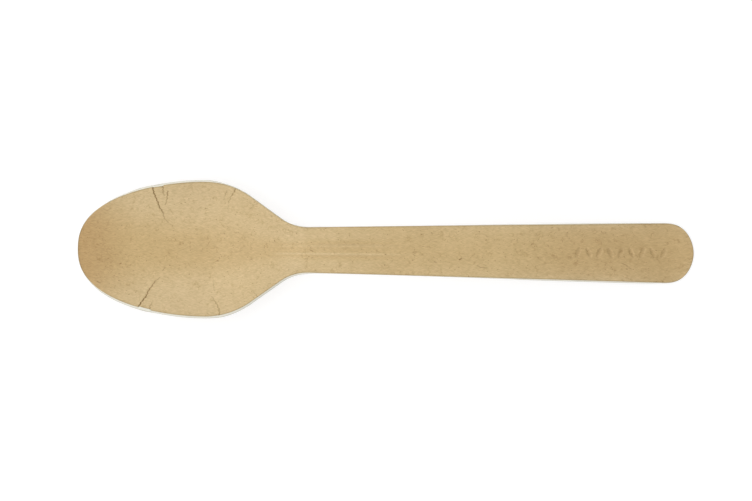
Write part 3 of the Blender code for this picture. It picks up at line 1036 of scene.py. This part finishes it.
def kraft_colour(tree, place, felt, fine, specks, crease_shade_share):
    """The liner's brown with fibres, specks, wrinkles, painted sheen and painted shade."""
    cloud = use_group(tree, BLOTCHES, place, Size=9.0)["Cloud"]
    tone = maths(tree, "MULTIPLY_ADD", maths(tree, "SUBTRACT", felt, 0.5), FELT_CONTRAST, 0.5)
    clouded = maths(tree, "SUBTRACT", cloud, 0.5)
    tone = maths(tree, "MULTIPLY_ADD", clouded, CLOUD_CONTRAST, tone, clamp=True)
    # painted shade, darker and browner towards the tip and over the end of the handle
    colour = blend_colours(tree, painted_end_shade(tree, place), KRAFT, KRAFT_IN_PAINTED_SHADE)
    # painted sheen, paler where the walls, the bead and the handle's edges would catch the light
    painted_sheen = maths(tree, "MULTIPLY", attribute(tree, "painted_sheen"), PAINTED_SHEEN_SHARE)
    colour = blend_colours(tree, painted_sheen, colour, KRAFT_PAINTED_SHEEN)
    fibres = blend_colours(tree, tone, DARK_FIBRES, PALE_FIBRES)
    colour = blend_colours(tree, 1.0, colour, fibres, blend="MULTIPLY")
    colour = blend_colours(tree, specks, colour, SPECK, blend="MULTIPLY")
    colour = blend_colours(tree, fine, colour, WRINKLE, blend="MULTIPLY")
    # painted shade along the outline
    colour = blend_colours(tree, attribute(tree, "rim_line"), colour, KRAFT_RIM_SHADE, blend="MULTIPLY")
    # painted shade in the creases and grains
    return blend_colours(tree, crease_shade_share, colour, KRAFT_CREASE_SHADE)


print("where the mesh says 1 for rubbed, the liner is", PAINTED_SHEEN_SHARE, "of the way to its paler colour")

# %% Kraft material
SMOOTHEST = 0.45
ROUGHER = 0.2
WRINKLE_RELIEF = -1.2
SPECK_RELIEF = -0.5
LINER_RELIEF = 0.014 * MM
SHEEN = 0.5


def kraft_material():
    """The brown liner of both faces."""
    made, tree, shader = new_material("kraft_liner")
    place = node(tree, "ShaderNodeTexCoord").outputs["Object"]
    felt = use_group(tree, FIBRES, place, Length=1.2, Breadth=0.28)["Felt"]
    fine = use_group(tree, WRINKLES, place, Curl=1.5, Line=0.05, Sparse=0.56)["Line"]
    specks = use_group(tree, SPECKS, place, Size=0.45, Sparse=0.70)["Speck"]
    crease_shade_share = attribute(tree, "crease_shade")
    feed(tree, shader.inputs["Base Color"], kraft_colour(tree, place, felt, fine, specks, crease_shade_share))
    rough = maths(tree, "MULTIPLY_ADD", felt, ROUGHER, SMOOTHEST)
    feed(tree, shader.inputs["Roughness"], maths(tree, "ADD", rough, crease_shade_share, clamp=True))
    shader.inputs["Specular IOR Level"].default_value = SHEEN
    relief = maths(tree, "MULTIPLY_ADD", fine, WRINKLE_RELIEF, felt)
    relief = maths(tree, "MULTIPLY_ADD", specks, SPECK_RELIEF, relief)
    feed(tree, shader.inputs["Normal"], bump_normal(tree, LINER_RELIEF, relief))
    return made


shell.materials[0] = kraft_material()
print("the liner's material has", len(shell.materials[0].node_tree.nodes), "nodes")

# %% [markdown]
# ## The white core
#
# The cut edge shows the pulp between the liners: off-white, soft and slightly furry, with the glue lines
# of its plies, and a thin brown line at the upper face where the liner is cut through. Towards the lower face
# the edge turns a broader grey: partly the lower liner, and partly painted shade, as that part of the edge
# faces down towards the table.

# %% Core material
CORE_PALE = (0.790, 0.770, 0.670, 1.0)
CORE_SHADED = (0.650, 0.630, 0.530, 1.0)
LINER_CUT = (0.560, 0.460, 0.290, 1.0)
# grey of the lower liner with painted shade over it
LOWER_LINER_AND_SHADE = (0.420, 0.390, 0.340, 1.0)
PLIES = 5
LINER_SHARE = 0.04
LOWER_GREY_FROM = 0.72
GLUE_LINE = -0.12
BETWEEN_GLUE_LINES = 0.8
FUR_CONTRAST = 1.2
FUR_RELIEF = 0.03 * MM
CORE_ROUGHNESS = 0.9


def core_material():
    """The white pulp between the liners, as the cut shows it."""
    made, tree, shader = new_material("white_core")
    place = node(tree, "ShaderNodeTexCoord").outputs["Object"]
    felt = use_group(tree, FIBRES, place, Length=0.5, Breadth=0.12)["Felt"]
    depth = attribute(tree, "ply")
    wave = maths(tree, "COSINE", maths(tree, "MULTIPLY", depth, 2 * math.pi * PLIES))
    glue = maths(tree, "MULTIPLY_ADD", wave, GLUE_LINE, BETWEEN_GLUE_LINES)
    tone = maths(tree, "MULTIPLY_ADD", maths(tree, "SUBTRACT", felt, 0.5), FUR_CONTRAST, glue, clamp=True)
    colour = blend_colours(tree, tone, CORE_SHADED, CORE_PALE)
    liner = maths(tree, "LESS_THAN", depth, LINER_SHARE)
    colour = blend_colours(tree, liner, colour, LINER_CUT)
    # towards the lower face the edge turns to the lower liner's grey, partly painted shade
    past = maths(tree, "SUBTRACT", depth, LOWER_GREY_FROM)
    lower_grey_share = maths(tree, "DIVIDE", past, 1 - LOWER_GREY_FROM, clamp=True)
    colour = blend_colours(tree, lower_grey_share, colour, LOWER_LINER_AND_SHADE)
    feed(tree, shader.inputs["Base Color"], colour)
    shader.inputs["Roughness"].default_value = CORE_ROUGHNESS
    feed(tree, shader.inputs["Normal"], bump_normal(tree, FUR_RELIEF, felt))
    return made


shell.materials[1] = core_material()
print("finishes:", [material.name for material in shell.materials])

# %% [markdown]
# ## The table
#
# The spoon lies on a plain white table. To the camera the floor is brighter than paper white, and to the
# light that bounces it is an ordinary pale grey, so the spoon is not lit from below by a floor that glows.

# %% Floor
FLOOR_SIZE = 12.0
FLOOR_GREY = (0.80, 0.80, 0.80, 1.0)
FLOOR_SEEN = (0.28, 0.28, 0.28, 1.0)
FLOOR_GLOW = 0.80
FLOOR_BELOW = 0.02 * MM


def floor_material():
    """White to the camera and in reflections, pale grey to the light that bounces."""
    made, tree, shader = new_material("white_table")
    path = node(tree, "ShaderNodeLightPath").outputs
    seen = maths(tree, "ADD", path["Is Camera Ray"], path["Is Glossy Ray"])
    seen = maths(tree, "ADD", seen, path["Is Transmission Ray"], clamp=True)
    feed(tree, shader.inputs["Base Color"], blend_colours(tree, seen, FLOOR_GREY, FLOOR_SEEN))
    shader.inputs["Emission Color"].default_value = (1.0, 1.0, 1.0, 1.0)
    feed(tree, shader.inputs["Emission Strength"], maths(tree, "MULTIPLY", seen, FLOOR_GLOW))
    shader.inputs["Roughness"].default_value = 1.0
    shader.inputs["Specular IOR Level"].default_value = 0.0
    return made


bpy.ops.mesh.primitive_plane_add(size=FLOOR_SIZE, location=(0.0, 0.0, -FLOOR_BELOW))
table = bpy.context.object
table.name = "table"
table.data.materials.append(floor_material())
table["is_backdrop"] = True
print("the table is", FLOOR_SIZE, "m wide")

# %% [markdown]
# ## Light
#
# The spoon was shot in a light tent: bright all round, a little brighter from the bowl's end. A white world
# gives the even part, and large soft lamps give the rest: one over the bowl's end and one low on
# either side, which catches the steep walls and the rim.

# %% World
WORLD_LEVEL = 0.15

world = bpy.data.worlds.new("light_tent")
world.use_nodes = True
tent = world.node_tree.nodes["Background"]
tent.inputs["Strength"].default_value = WORLD_LEVEL
tent.inputs["Color"].default_value = (1.0, 1.0, 1.0, 1.0)
bpy.context.scene.world = world
print("the tent's even light has a level of", WORLD_LEVEL)

# %% Lamps
LAMPS = (
    # name, azimuth and elevation in degrees, distance and size in metres, watts
    ("bowl_end_softbox", 180, 60, 0.7, (0.45, 0.45), 1.75),
    ("far_side_softbox", 94, 35, 0.6, (0.6, 0.45), 2.35),
    ("near_side_softbox", 266, 35, 0.6, (0.6, 0.45), 2.35),
)


def soft_lamp(name, direction, elevation, distance, size, watts):
    """A softbox at an azimuth and an elevation round the spoon, facing it."""
    lamp = bpy.data.lights.new(name, "AREA")
    lamp.shape = "RECTANGLE"
    lamp.size, lamp.size_y = size
    lamp.energy = watts
    holder = bpy.data.objects.new(name, lamp)
    bpy.context.scene.collection.objects.link(holder)
    azimuth, height = math.radians(direction), math.radians(elevation)
    flat = distance * math.cos(height)
    holder.location = (flat * math.cos(azimuth), flat * math.sin(azimuth), distance * math.sin(height))
    holder.rotation_euler = (-holder.location).to_track_quat("-Z", "Y").to_euler()
    holder.visible_camera = False


for lamp_sizes in LAMPS:
    soft_lamp(*lamp_sizes)
print("lamps:", [lamp_sizes[0] for lamp_sizes in LAMPS])

# %% [markdown]
# ## Camera
#
# The photograph looks down on the spoon through a long lens, from almost straight above and a touch from
# the near side, with the handle a fraction of a degree off level. The lens follows from the scale: so many
# millimetres of table to a pixel of the 752 by 501 frame.

# %% Camera
FRAME_WIDTH_PX = 752
MM_PER_PX = 0.2597
CAMERA_ELEVATION = math.radians(89.0)
CAMERA_DISTANCE = 1.0
CAMERA_ROLL = math.radians(0.45)
AIM = Vector((-2.69 * MM, 0.05 * MM, 4.0 * MM))

camera_data = bpy.data.cameras.new("camera")
camera_data.lens = camera_data.sensor_width * CAMERA_DISTANCE / (FRAME_WIDTH_PX * MM_PER_PX * MM)
camera = bpy.data.objects.new("camera", camera_data)
bpy.context.scene.collection.objects.link(camera)
offset = Vector((0.0, -math.cos(CAMERA_ELEVATION), math.sin(CAMERA_ELEVATION))) * CAMERA_DISTANCE
camera.location = AIM + offset
camera.rotation_euler = (-offset).to_track_quat("-Z", "Y").to_euler()
camera.rotation_euler.rotate_axis("Z", CAMERA_ROLL)
bpy.context.scene.camera = camera
bpy.context.scene.view_settings.view_transform = "Standard"
print("lens", round(camera_data.lens, 1), "mm")

# %% [markdown]
# ## Compare sizes and finish
#
# The dressed spoon's box is compared with the imported one's, and how much it grows is printed.
# The dressed spoon must keep to the imported one's box, within about a tenth of a millimetre.

# %% Finish
dressed_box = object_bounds()
growth = [round((a - b) / MM, 3) for a, b in zip(dressed_box[1], cad_box[1])]
print("the box grows by", growth, "mm at its high corner")
